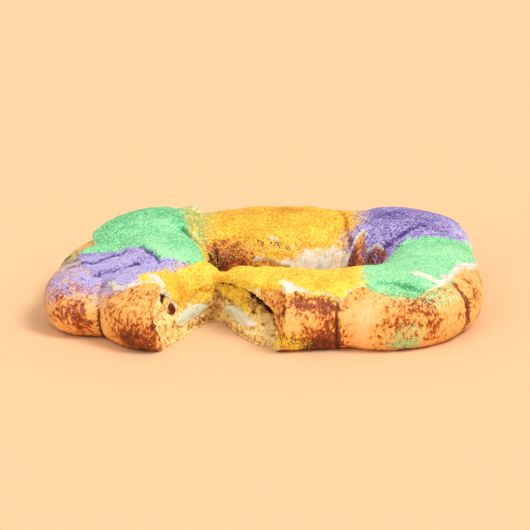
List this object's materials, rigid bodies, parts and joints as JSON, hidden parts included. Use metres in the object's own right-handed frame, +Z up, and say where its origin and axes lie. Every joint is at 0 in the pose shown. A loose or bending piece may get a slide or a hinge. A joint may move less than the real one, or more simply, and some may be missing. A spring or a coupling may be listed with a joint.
{
  "type": "king cake",
  "caption": "Oval ring of plaited sweet dough with a cream filling and sugared icing on top, with a bite torn out of the front.",
  "frame": {"origin": "middle of the cake's box, on the underside that it stands on", "axes": "+X along the cake, -Y towards the side with the bite, +Z up"},
  "size_m": [0.381, 0.2539, 0.0645],
  "materials": {
    "baked_dough": "baked crust, matte to satin",
    "sugared_icing": "set icing under coloured sugar",
    "cream_cheese": "smooth and moist"
  },
  "bodies": {
    "root": {"dough_ring": "baked_dough", "icing": "sugared_icing", "cream_filling": "cream_cheese"}
  },
  "joints": []
}
